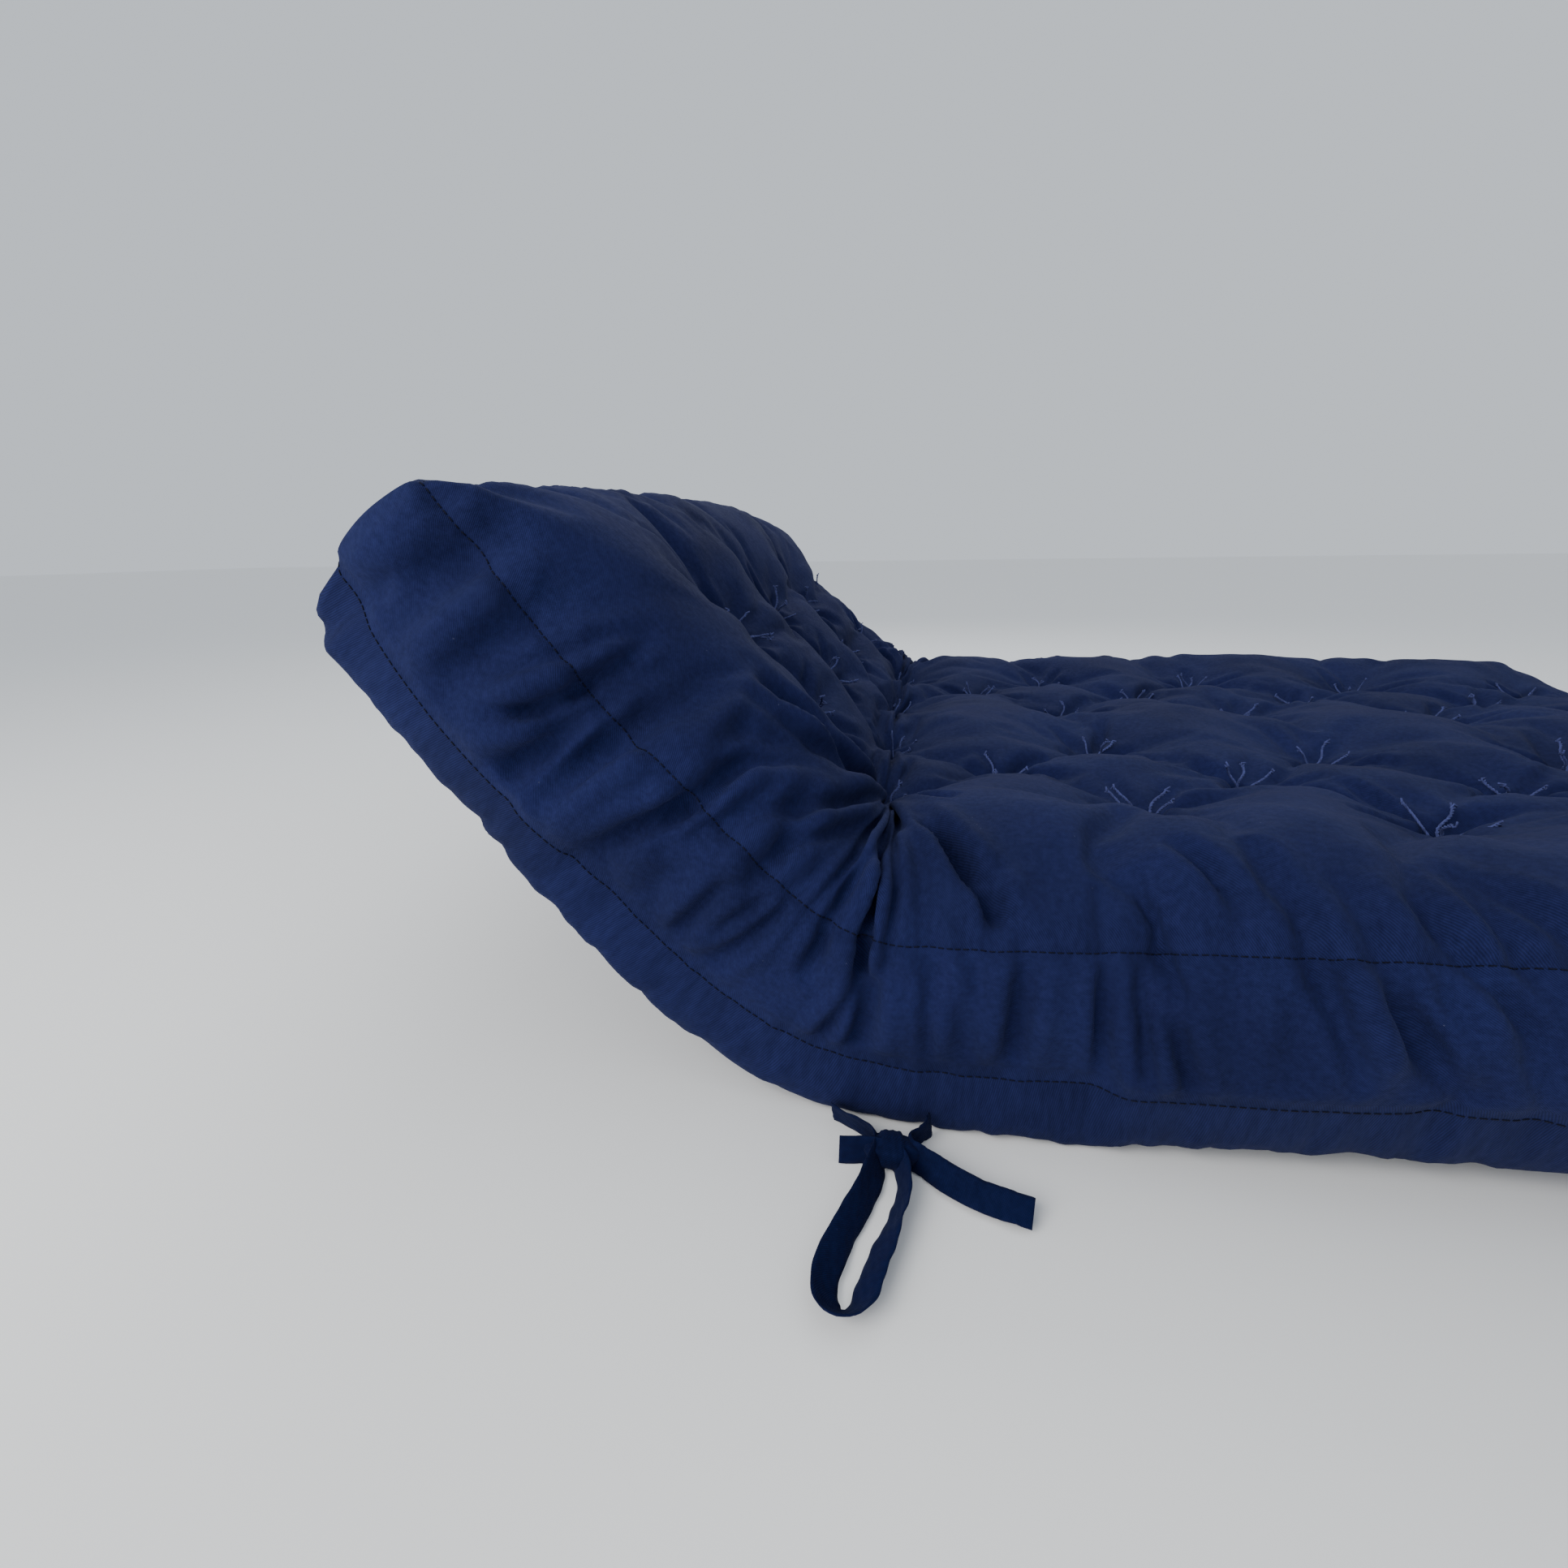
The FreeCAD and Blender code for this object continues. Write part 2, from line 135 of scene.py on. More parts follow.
# ---------------------------------------------------------------- the casing, as cut and as folded
def crease(across, out, start, end, width, depth):
    """A pinched fold between two points: a valley with low shoulders. across and out are the places."""
    start, end = np.array(start), np.array(end)
    run = end - start
    length = np.hypot(*run)
    share = ((across - start[0]) * run[0] + (out - start[1]) * run[1]) / length**2
    off = np.abs((across - start[0]) * run[1] - (out - start[1]) * run[0]) / length
    taper = np.sin(math.pi * np.clip(share, 0, 1)) ** 0.7
    valley = np.exp(-((off / width) ** 2)) - 0.45 * np.exp(-(((off - 2.1 * width) / (1.1 * width)) ** 2))
    return -depth * taper * valley


def creased(across, out, list_of_creases):
    total = np.zeros_like(across)
    for start, end, width, depth in list_of_creases:
        margin = 4.5 * width
        near = (across > min(start[0], end[0]) - margin) & (across < max(start[0], end[0]) + margin)
        near &= (out > min(start[1], end[1]) - margin) & (out < max(start[1], end[1]) + margin)
        total[near] += crease(across[near], out[near], start, end, width, depth)
    return total


def fold_creases():
    """Gathers at one end of the fold line: they fan out from the outermost tuft across the top and
    down the side strip. Places are (u, distance from the middle), carried on down the side strip."""
    made = []
    # a fan round the outermost tuft
    for _ in range(38):
        angle = rng.uniform(-1.15, 1.0)
        inner = rng.uniform(0.03, 0.24)
        outer = inner + rng.uniform(0.08, 0.2)
        swing = angle + rng.uniform(-0.12, 0.12)
        start = (inner * math.sin(angle), -FOLD_TUFT[1] + inner * math.cos(angle))
        end = (outer * math.sin(swing), -FOLD_TUFT[1] + outer * math.cos(swing))
        made.append((start, end, rng.uniform(0.007, 0.013), rng.uniform(0.003, 0.008)))
    # short ones across the upper seam
    for _ in range(46):
        at = rng.uniform(-0.4, 0.55)
        first = rng.uniform(0.6, 0.74)
        end = (at * 1.12 + rng.uniform(-0.04, 0.04), first + rng.uniform(0.07, 0.15))
        made.append(((at, first), end, rng.uniform(0.006, 0.012), rng.uniform(0.004, 0.009)))
    # broad, shallow ones down the side strip of the head section, then of the flat section
    for _ in range(12):
        at = rng.uniform(-0.58, -0.2)
        end = (at + rng.uniform(-0.05, 0.02), 0.83)
        made.append(((at, 0.66), end, rng.uniform(0.012, 0.022), rng.uniform(0.003, 0.006)))
    for _ in range(14):
        at = rng.uniform(0.35, 1.32)
        start = (at, rng.uniform(0.56, 0.7))
        end = (at + rng.uniform(-0.06, 0.06), 0.81)
        made.append((start, end, rng.uniform(0.012, 0.024), rng.uniform(0.002, 0.005)))
    return made


cells_u = round((HEAD + FLAT) / CELL)
cells_v = round(2 * HALF / CELL)
cells_border = 13
cells_hem = 9
all_u = np.linspace(-HEAD, FLAT, cells_u + 1)
all_v = np.linspace(-HALF, HALF, cells_v + 1)
U, V = np.meshgrid(all_u, all_v, indexing="ij")
edge = np.minimum(np.minimum(U + HEAD, FLAT - U), np.minimum(V + HALF, HALF - V))
# the head section's top rises more gently from its seams
on_head = smooth((-0.16 - U) / 0.2)
from_ends = np.minimum((U + HEAD) * 0.4, FLAT - U)
from_sides = (HALF - np.abs(V)) * (1 - 0.4 * on_head)
crown = np.clip(np.minimum(from_ends, from_sides) / 0.11, 0, 1)
top_z = UPPER_SEAM + (CREST - UPPER_SEAM) * np.sqrt(1 - (1 - crown) ** 2)
top_z -= PRESSURE_RISE
dip = np.zeros_like(top_z)
for tuft_u, tuft_v in TUFTS:
    away = np.hypot(U - tuft_u, V - tuft_v)
    drawn = FOLD_DIP if tuft_u == 0 else TOP_DIP
    dip = np.maximum(dip, drawn * np.exp(-((away / DIP_RADIUS) ** 1.3)))
top_z = np.maximum(top_z - dip, UPPER_SEAM)
top = np.stack([U, V, top_z], -1)
top_id = np.arange(U.size).reshape(U.shape)

loop = [(i, 0) for i in range(cells_u)] + [(cells_u, j) for j in range(cells_v)]
loop += [(i, cells_v) for i in range(cells_u, 0, -1)] + [(0, j) for j in range(cells_v, 0, -1)]
loop = np.array(loop)
around = len(loop)
rim = top[loop[:, 0], loop[:, 1]]
outward = np.zeros((around, 2))
outward[loop[:, 1] == 0, 1] -= 1
outward[loop[:, 1] == cells_v, 1] += 1
outward[loop[:, 0] == 0, 0] -= 1
outward[loop[:, 0] == cells_u, 0] += 1
outward /= np.linalg.norm(outward, axis=1, keepdims=True)
rings = [top_id[loop[:, 0], loop[:, 1]]]
layers = [top.reshape(-1, 3)]
upper_distance = [edge.ravel()]
lower_distance = [np.full(U.size, 1.0)]
count = U.size
for ring in range(1, cells_border + 1):
    share = ring / cells_border
    bulge = 0.010 * math.sin(math.pi * share)
    z = UPPER_SEAM + (LOWER_SEAM - UPPER_SEAM) * share
    layers.append(np.column_stack([rim[:, :2] + outward * bulge, np.full(around, z)]))
    upper_distance.append(np.full(around, UPPER_SEAM - z))
    lower_distance.append(np.full(around, z - LOWER_SEAM))
    rings.append(np.arange(count, count + around))
    count += around
steps_i = np.arange(cells_u + 1)[:, None]
steps_j = np.arange(cells_v + 1)[None]
depth = np.minimum(np.minimum(steps_i, cells_u - steps_i), np.minimum(steps_j, cells_v - steps_j))
bottom_id = np.full(U.shape, -1)
bottom_id[loop[:, 0], loop[:, 1]] = rings[-1]
hem = (depth >= 1) & (depth <= cells_hem)
bottom_id[hem] = np.arange(count, count + hem.sum())
hem_share = np.clip(depth[hem] * CELL / 0.045, 0, 1)
hem_z = LOWER_SEAM * (1 - (1 - (1 - hem_share) ** 2.7) ** (1 / 2.7))
hem_bulge = 0.015 * np.sin(math.pi * np.minimum(hem_share * 0.75 + 0.1, 1))
outward_u = np.broadcast_to(np.where(steps_i < 5, -1, np.where(steps_i > cells_u - 5, 1, 0)), U.shape)
outward_v = np.broadcast_to(np.where(steps_j < 5, -1, np.where(steps_j > cells_v - 5, 1, 0)), U.shape)
hem_bulge *= np.where(outward_u[hem] * outward_v[hem] == 0, 1, 0.1)
hem_u = U[hem] + hem_bulge * outward_u[hem]
hem_v = V[hem] + hem_bulge * outward_v[hem]
layers.append(np.stack([hem_u, hem_v, hem_z], -1))
upper_distance.append(np.full(hem.sum(), 1.0))
lower_distance.append(depth[hem] * CELL)
flat = np.concatenate(layers)
upper_distance = np.concatenate(upper_distance)
lower_distance = np.concatenate(lower_distance)

TOP, SIDE, BOTTOM = 0, 1, 2
faces, face_piece, face_uv = [], [], []
for i in range(cells_u):
    for j in range(cells_v):
        corners = ((i, j), (i + 1, j), (i + 1, j + 1), (i, j + 1))
        faces.append([int(top_id[c]) for c in corners])
        face_piece.append(TOP)
        face_uv += [(U[c], V[c]) for c in corners]
for ring in range(cells_border):
    upper, lower = rings[ring], rings[ring + 1]
    for k in range(around):
        following = (k + 1) % around
        faces.append([int(upper[k]), int(lower[k]), int(lower[following]), int(upper[following])])
        face_piece.append(SIDE)
        face_uv += [(k * CELL, -ring * CELL), (k * CELL, -(ring + 1) * CELL)]
        face_uv += [((k + 1) * CELL, -(ring + 1) * CELL), ((k + 1) * CELL, -ring * CELL)]
for i in range(cells_u):
    for j in range(cells_v):
        corners = ((i, j), (i, j + 1), (i + 1, j + 1), (i + 1, j))
        if min(bottom_id[c] for c in corners) >= 0:
            faces.append([int(bottom_id[c]) for c in corners])
            face_piece.append(BOTTOM)
            face_uv += [(U[c], V[c]) for c in corners]
simulated_faces = len(faces)
# the middle of the underside is plain: a strip for each step of u, and a cell at each end that takes
# the whole inner edge of the hem
left = cells_hem
right = cells_v - cells_hem
for i in range(cells_hem, cells_u - cells_hem):
    near_end = [(i, j) for j in range(left, right + 1)] if i == cells_hem else [(i, left), (i, right)]
    far_end = [(i + 1, right), (i + 1, left)]
    if i == cells_u - cells_hem - 1:
        far_end = [(i + 1, j) for j in range(right, left - 1, -1)]
    corners = near_end + far_end
    faces.append([int(bottom_id[c]) for c in corners])
    face_piece.append(BOTTOM)
    face_uv += [(U[c], V[c]) for c in corners]

# the starting shape, with the gathers begun
on_top = np.arange(len(flat)) < U.size
on_side = (np.arange(len(flat)) >= U.size) & (upper_distance < 0.5)
on_long_side = on_side & (np.abs(flat[:, 1]) > HALF - 1e-6) & (flat[:, 0] > -HEAD) & (flat[:, 0] < FLAT)
start = flat.copy()
side_creases = {side: fold_creases() for side in (-1, 1)}
for side, own_creases in side_creases.items():
    chosen = on_top & (flat[:, 1] * side > 0.3)
    begun = creased(flat[chosen, 0], flat[chosen, 1] * side, own_creases)
    start[chosen, 2] += begun * smooth(upper_distance[chosen] / 0.03)
    chosen = on_long_side & (flat[:, 1] * side > 0)
    begun = creased(flat[chosen, 0], HALF + upper_distance[chosen], own_creases)
    start[chosen, 1] += side * begun * smooth(lower_distance[chosen] / 0.03)
waves = sum(
    np.sin(flat[:, 0] * rng.uniform(15, 60) + flat[:, 1] * rng.uniform(-60, 60) + rng.uniform(0, 6.28))
    for _ in range(12)
)
start[on_top, 2] += 0.0012 * (waves * smooth(upper_distance / 0.05))[on_top]
folded = bend(start)


def simulate(position):
    """Inflates the casing against its tufts and its underside, from the cloth's flat cut."""
    mesh = bpy.data.meshes.new("casing_cloth")
    mesh.from_pydata(position.tolist(), [], faces[:simulated_faces])
    cloth = bpy.data.objects.new("casing_cloth", mesh)
    bpy.context.scene.collection.objects.link(cloth)
    cloth.shape_key_add(name="Basis")
    cut = cloth.shape_key_add(name="cut")
    rest = flat.copy()
    # the filling takes up part of the spare length inside the bend, and the rest of it gathers
    rest[:, 0] += 0.55 * (flat[:, 2] - AXIS_Z) * turn_at(flat[:, 0])
    rest[on_top, 2] = UPPER_SEAM
    cut.data.foreach_set("co", rest.astype(np.float32).ravel())
    cut.value = 0
    pinned = [int(k) for k in bottom_id[(depth * CELL > 0.06) & (depth <= cells_hem)]]
    for tuft_u, tuft_v in TUFTS:
        pinned += [int(k) for k in top_id[np.hypot(U - tuft_u, V - tuft_v) < CELL * 0.75]]
    at_corner = (np.abs(np.abs(flat[:, 1]) - HALF) < 0.012) & (
        (np.abs(flat[:, 0] + HEAD) < 0.012) | (np.abs(flat[:, 0] - FLAT) < 0.012)
    )
    pinned += [int(k) for k in np.flatnonzero(at_corner & (flat[:, 2] >= LOWER_SEAM - 0.001))]
    pins = cloth.vertex_groups.new(name="pins")
    # the filling holds the side strips, more than it holds the top, to the bend's smooth line
    held = smooth((0.3 - np.abs(flat[:, 0])) / 0.12) * on_side
    for strength, low_edge, high_edge in ((0.2, 0.1, 0.6), (0.4, 0.6, 1.1)):
        chosen = (held > low_edge) & (held <= high_edge)
        pins.add([int(k) for k in np.flatnonzero(chosen)], strength, "REPLACE")
    pins.add(pinned, 1.0, "REPLACE")
    inflated = cloth.vertex_groups.new(name="inflated")
    corner = np.minimum(
        np.hypot(flat[:, 0] + HEAD, HALF - np.abs(flat[:, 1])),
        np.hypot(flat[:, 0] - FLAT, HALF - np.abs(flat[:, 1])),
    )
    weight = np.round(0.1 + 0.9 * smooth(corner / 0.16), 2)
    for value in np.unique(weight):
        inflated.add([int(k) for k in np.flatnonzero(weight == value)], float(value), "REPLACE")
    modifier = cloth.modifiers.new("Cloth", "CLOTH")
    settings = modifier.settings
    settings.quality = 5
    settings.mass = 0.3
    settings.tension_stiffness = 15
    settings.compression_stiffness = 15
    settings.shear_stiffness = 5
    settings.bending_stiffness = 0.25
    settings.air_damping = 1
    settings.use_pressure = True
    settings.uniform_pressure_force = 3
    settings.vertex_group_pressure = "inflated"
    settings.shrink_min = -0.035
    settings.vertex_group_mass = "pins"
    settings.pin_stiffness = 1
    settings.effector_weights.gravity = 0
    settings.rest_shape_key = cut
    modifier.collision_settings.use_collision = False
    modifier.collision_settings.use_self_collision = False
    frames = 25
    modifier.point_cache.frame_start = 1
    modifier.point_cache.frame_end = frames
    scene = bpy.context.scene
    scene.frame_start = 1
    scene.frame_end = frames
    for number in range(1, frames + 1):
        scene.frame_set(number)
    settled = cloth.evaluated_get(bpy.context.evaluated_depsgraph_get()).to_mesh()
    found = np.empty(len(settled.vertices) * 3, np.float32)
    settled.vertices.foreach_get("co", found)
    scene.frame_set(1)
    bpy.data.objects.remove(cloth)
    return found.reshape(-1, 3).astype(float)


shape = simulate(folded)
shape[:, 2] = np.maximum(shape[:, 2], 0.0015)


# ---------------------------------------------------------------- the finer folds
def subdivided(position):
    """The whole casing, divided once more: points, flat coordinates, distances from the seams, faces,
    pieces and UVs."""
    mesh = bpy.data.meshes.new("casing")
    mesh.from_pydata(position.tolist(), [], faces)
    for piece in range(3):
        mesh.materials.append(None)
    mesh.polygons.foreach_set("material_index", face_piece)
    mesh.polygons.foreach_set("use_smooth", [True] * len(faces))
    layer = mesh.uv_layers.new(name="cloth")
    layer.data.foreach_set("uv", np.array(face_uv, np.float32).ravel())
    columns = {"u": flat[:, 0], "v": flat[:, 1], "up": upper_distance, "low": lower_distance}
    for name, values in columns.items():
        mesh.attributes.new(name, "FLOAT", "POINT").data.foreach_set("value", values.astype(np.float32))
    whole = bpy.data.objects.new("casing", mesh)
    bpy.context.scene.collection.objects.link(whole)
    divide = whole.modifiers.new("divide", "SUBSURF")
    divide.levels = 1
    divide.render_levels = 1
    fine = bpy.data.meshes.new_from_object(whole.evaluated_get(bpy.context.evaluated_depsgraph_get()))
    bpy.data.objects.remove(whole)
    return fine


def column(mesh, name):
    values = np.empty(len(mesh.vertices), np.float32)
    mesh.attributes[name].data.foreach_get("value", values)
    return values.astype(float)


casing = subdivided(shape)
points = np.empty(len(casing.vertices) * 3, np.float32)
casing.vertices.foreach_get("co", points)
points = points.reshape(-1, 3).astype(float)
normals = np.empty(len(casing.vertices) * 3, np.float32)
casing.vertex_normals.foreach_get("vector", normals)
normals = normals.reshape(-1, 3).astype(float)
u, v, up, low = (column(casing, name) for name in ("u", "v", "up", "low"))
top_part = low > 0.9
side_part = (up < 0.5) & ~top_part
long_side = side_part & (np.abs(v) > HALF - 1e-4)
seam = np.minimum(up, low)


def puckers(along, low_rate, high_rate, parts):
    """Uneven ripples along a seam."""
    total = np.zeros_like(along)
    for _ in range(parts):
        total += np.sin(FULL_TURN * rng.uniform(low_rate, high_rate) * along + rng.uniform(0, 6.28))
    return total / math.sqrt(parts)


# the groove of each seam, and the ripples beside it
push = -0.0045 * np.exp(-((seam / 0.0055) ** 2))
push += 0.0014 * puckers(u + v * 1.03, 14, 46, 9) * np.exp(-((seam / 0.028) ** 2)) * smooth(seam / 0.01)
# creases that the tufts draw in the top
tuft_creases = []
for tuft_u, tuft_v in TUFTS:
    for spoke in range(6):
        angle = spoke * 1.05 + rng.uniform(-0.4, 0.4)
        reach = rng.uniform(0.055, 0.13)
        start_at = (tuft_u - 0.02 * math.cos(angle), tuft_v - 0.02 * math.sin(angle))
        end_at = (tuft_u + reach * math.cos(angle), tuft_v + reach * math.sin(angle))
        tuft_creases.append((start_at, end_at, rng.uniform(0.007, 0.013), rng.uniform(0.004, 0.010)))
# and the crease along the fold line, from tuft to tuft
for first, second in zip(FOUR, FOUR[1:]):
    ends = ((0.004, first * TUFT_PITCH_Y), (-0.004, second * TUFT_PITCH_Y))
    tuft_creases.append((*ends, 0.011, 0.009))
push[top_part] += creased(u[top_part], v[top_part], tuft_creases)
# the fold's gathers, pinched tighter than the cloth simulation leaves them
for side, own_creases in side_creases.items():
    chosen = top_part & (v * side > 0.3)
    push[chosen] += creased(u[chosen], v[chosen] * side, own_creases)
    chosen = long_side & (v * side > 0)
    push[chosen] += creased(u[chosen], HALF + up[chosen], own_creases) * smooth(low[chosen] / 0.02)
points += normals * np.maximum(push, -0.011)[:, None]
points[:, 2] = np.maximum(points[:, 2], 0.0004)


# ---------------------------------------------------------------- materials
def material(name):
    made = bpy.data.materials.new(name)
    made.use_nodes = True
    return made, made.node_tree.nodes, made.node_tree.links, made.node_tree.nodes["Principled BSDF"]


def mixed(nodes, links, kind, share, first, second):
    """A colour mix. Each input is a socket or a plain value."""
    mix = nodes.new("ShaderNodeMix")
    mix.data_type = "RGBA"
    mix.blend_type = kind
    for socket, value in ((mix.inputs[0], share), (mix.inputs[6], first), (mix.inputs[7], second)):
        if isinstance(value, bpy.types.NodeSocket):
            links.new(value, socket)
        else:
            socket.default_value = value
    return mix.outputs[2]


def ranged(nodes, links, socket, low_from, high_from, low_to, high_to):
    made = nodes.new("ShaderNodeMapRange")
    links.new(socket, made.inputs[0])
    for slot_number, value in enumerate((low_from, high_from, low_to, high_to), start=1):
        made.inputs[slot_number].default_value = value
    return made.outputs[0]


def noise(nodes, links, vector, scale, detail=3, rough=0.55):
    made = nodes.new("ShaderNodeTexNoise")
    made.inputs["Scale"].default_value = scale
    made.inputs["Detail"].default_value = detail
    made.inputs["Roughness"].default_value = rough
    links.new(vector, made.inputs["Vector"])
    return made.outputs["Fac"]


def shade(colour, times):
    return [times * channel for channel in colour] + [1]


def twill(name, colour, worn):
    """Cotton twill: diagonal ribs, uneven dye, rubbed patches, a bloom of loose fibre and a little lint."""
    made, nodes, links, shader = material(name)
    cloth = nodes.new("ShaderNodeUVMap")
    cloth.uv_map = "cloth"
    at = cloth.outputs["UV"]
    ribs = nodes.new("ShaderNodeTexWave")
    ribs.bands_direction = "DIAGONAL"
    ribs.inputs["Scale"].default_value = 330
    ribs.inputs["Distortion"].default_value = 1.2
    ribs.inputs["Detail"].default_value = 2
    ribs.inputs["Detail Scale"].default_value = 2.5
    links.new(at, ribs.inputs["Vector"])
    patches = ranged(nodes, links, noise(nodes, links, at, 5), 0.35, 0.65, 0, 1)
    dye = mixed(nodes, links, "MIX", patches, shade(colour, 0.82), shade(colour, 1.16))
    slubs = ranged(nodes, links, noise(nodes, links, at, 160, 4, 0.7), 0.3, 0.7, 0.78, 1.2)
    dye = mixed(nodes, links, "MULTIPLY", 1.0, dye, slubs)
    ribbed = ranged(nodes, links, ribs.outputs["Fac"], 0, 1, 0.72, 1.16)
    dye = mixed(nodes, links, "MULTIPLY", 1.0, dye, ribbed)
    rubbed = ranged(nodes, links, noise(nodes, links, at, 13, 5, 0.65), 0.56, 0.76, 0, 0.5)
    dye = mixed(nodes, links, "MIX", rubbed, dye, [*worn, 1])
    lint_cells = nodes.new("ShaderNodeTexVoronoi")
    lint_cells.inputs["Scale"].default_value = 34
    links.new(at, lint_cells.inputs["Vector"])
    lint = ranged(nodes, links, lint_cells.outputs["Distance"], 0.018, 0.03, 0.35, 0)
    dye = mixed(nodes, links, "MIX", lint, dye, (0.1, 0.11, 0.17, 1))
    links.new(dye, shader.inputs["Base Color"])
    rough = ranged(nodes, links, slubs, 0.78, 1.2, 0.95, 0.8)
    links.new(rough, shader.inputs["Roughness"])
    shader.inputs["Sheen Weight"].default_value = 0.04
    shader.inputs["Sheen Roughness"].default_value = 0.5
    shader.inputs["Sheen Tint"].default_value = (0.35, 0.42, 0.75, 1)
    shader.inputs["Specular IOR Level"].default_value = 0.08
    weave = nodes.new("ShaderNodeBump")
    weave.inputs["Strength"].default_value = 0.5
    weave.inputs["Distance"].default_value = 0.0004
    links.new(ribs.outputs["Fac"], weave.inputs["Height"])
    crumple = nodes.new("ShaderNodeBump")
    crumple.inputs["Strength"].default_value = 0.55
    crumple.inputs["Distance"].default_value = 0.004
    links.new(noise(nodes, links, at, 26, 5, 0.6), crumple.inputs["Height"])
    links.new(weave.outputs["Normal"], crumple.inputs["Normal"])
    links.new(crumple.outputs["Normal"], shader.inputs["Normal"])
    return made


def thread_material(name, colour):
    """Twisted cotton thread, unevenly dyed and fuzzy."""
    made, nodes, links, shader = material(name)
    place = nodes.new("ShaderNodeTexCoord").outputs["Object"]
    tone = ranged(nodes, links, noise(nodes, links, place, 260, 3), 0.3, 0.7, 0, 1)
    dye = mixed(nodes, links, "MIX", tone, shade(colour, 0.6), shade(colour, 1.35))
    links.new(dye, shader.inputs["Base Color"])
    fuzz = nodes.new("ShaderNodeBump")
    fuzz.inputs["Strength"].default_value = 0.5
    fuzz.inputs["Distance"].default_value = 0.0005
    links.new(noise(nodes, links, place, 1400, 2), fuzz.inputs["Height"])
    links.new(fuzz.outputs["Normal"], shader.inputs["Normal"])
    shader.inputs["Roughness"].default_value = 0.8
    shader.inputs["Specular IOR Level"].default_value = 0.2
    return made


NAVY = (0.0092, 0.0128, 0.0575)
casing_twill = twill("navy_twill", NAVY, (0.0135, 0.0185, 0.072))
tie_twill = twill("tie_twill", (0.0035, 0.0065, 0.038), (0.0075, 0.012, 0.055))
tuft_thread = thread_material("tufting_thread", (0.052, 0.062, 0.18))
seam_thread = thread_material("seam_thread", (0.0012, 0.002, 0.012))


def add(name, verts, quads, finish_material, uv=None):
    mesh = bpy.data.meshes.new(name)
    mesh.from_pydata(np.asarray(verts).tolist(), [], [list(map(int, q)) for q in quads])
    mesh.polygons.foreach_set("use_smooth", [True] * len(mesh.polygons))
    if uv is not None:
        mesh.uv_layers.new(name="cloth").data.foreach_set("uv", np.asarray(uv, np.float32).ravel())
    mesh.materials.append(finish_material)
    mesh.update()
    made = bpy.data.objects.new(name, mesh)
    bpy.context.scene.collection.objects.link(made)
    return made


# ---------------------------------------------------------------- the casing's pieces
corner_points = np.empty(len(casing.loops), np.int32)
casing.loops.foreach_get("vertex_index", corner_points)
corner_points = corner_points.reshape(-1, 4)
piece_of = np.empty(len(casing.polygons), np.int32)
casing.polygons.foreach_get("material_index", piece_of)
cloth_uv = np.empty(len(casing.loops) * 2, np.float32)
casing.uv_layers["cloth"].data.foreach_get("uv", cloth_uv)
cloth_uv = cloth_uv.reshape(-1, 4, 2)
SECTIONS = ("flat", "fold", "head")
STANDS_FOR = {
    "top_panel": [f"{layer}_{s}" for layer in ("top_panel", "upper_batting") for s in SECTIONS],
    "border": [f"border_{side}_{s}" for side in ("near", "far") for s in SECTIONS]
    + ["border_foot_end", "border_head_end"]
    + [f"foam_core_{s}" for s in SECTIONS],
    "bottom_panel": [f"{layer}_{s}" for layer in ("bottom_panel", "lower_batting") for s in SECTIONS],
}
for number, (name, nodes_stood_for) in enumerate(STANDS_FOR.items()):
    chosen = piece_of == number
    used, renumbered = np.unique(corner_points[chosen], return_inverse=True)
    piece = add(name, points[used], renumbered.reshape(-1, 4), casing_twill, cloth_uv[chosen])
    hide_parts(*nodes_stood_for)
    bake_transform(piece)


# ---------------------------------------------------------------- tubes, for threads and stitches
def tube(path, radius, sides=6):
    """Vertices and faces of a closed tube along path."""
    path = np.asarray(path, float)
    along = np.gradient(path, axis=0)
    along /= np.linalg.norm(along, axis=1, keepdims=True)
    across = np.cross(along[0], (0.31, 0.22, 0.92))
    rings_made = []
    for centre, direction in zip(path, along):
        across = across - direction * (across @ direction)
        across /= np.linalg.norm(across)
        other = np.cross(direction, across)
        turn = np.linspace(0, FULL_TURN, sides, endpoint=False)[:, None]
        rings_made.append(centre + radius * (np.cos(turn) * across + np.sin(turn) * other))
    quads = []
    for k in range(len(path) - 1):
        for s in range(sides):
            t = (s + 1) % sides
            quads.append((k * sides + s, k * sides + t, (k + 1) * sides + t, (k + 1) * sides + s))
    quads.append(tuple(range(sides))[::-1])
    quads.append(tuple((len(path) - 1) * sides + s for s in range(sides)))
    return np.concatenate(rings_made), quads


def joined(tubes):
    """Several tubes as one list of vertices and one of faces."""
    verts, quads, offset = [], [], 0
    for own_verts, own_quads in tubes:
        verts.append(own_verts)
        quads += [tuple(offset + k for k in q) for q in own_quads]
        offset += len(own_verts)
    return np.concatenate(verts), quads


def seam_line(distance):
    """The points of a seam in order round the mattress."""
    found = np.flatnonzero(np.abs(distance) < 1e-5)
    fu, fv = u[found], v[found]
    length, width = HEAD + FLAT, 2 * HALF
    place = np.where(
        fv < -HALF + 1e-4,
        fu + HEAD,
        np.where(
            fu > FLAT - 1e-4,
            length + fv + HALF,
            np.where(fv > HALF - 1e-4, length + width + FLAT - fu, 2 * length + width + HALF - fv),
        ),
    )
    found = found[np.argsort(place)]
    return np.vstack([points[found], points[found[:1]]]), np.vstack([normals[found], normals[found[:1]]])


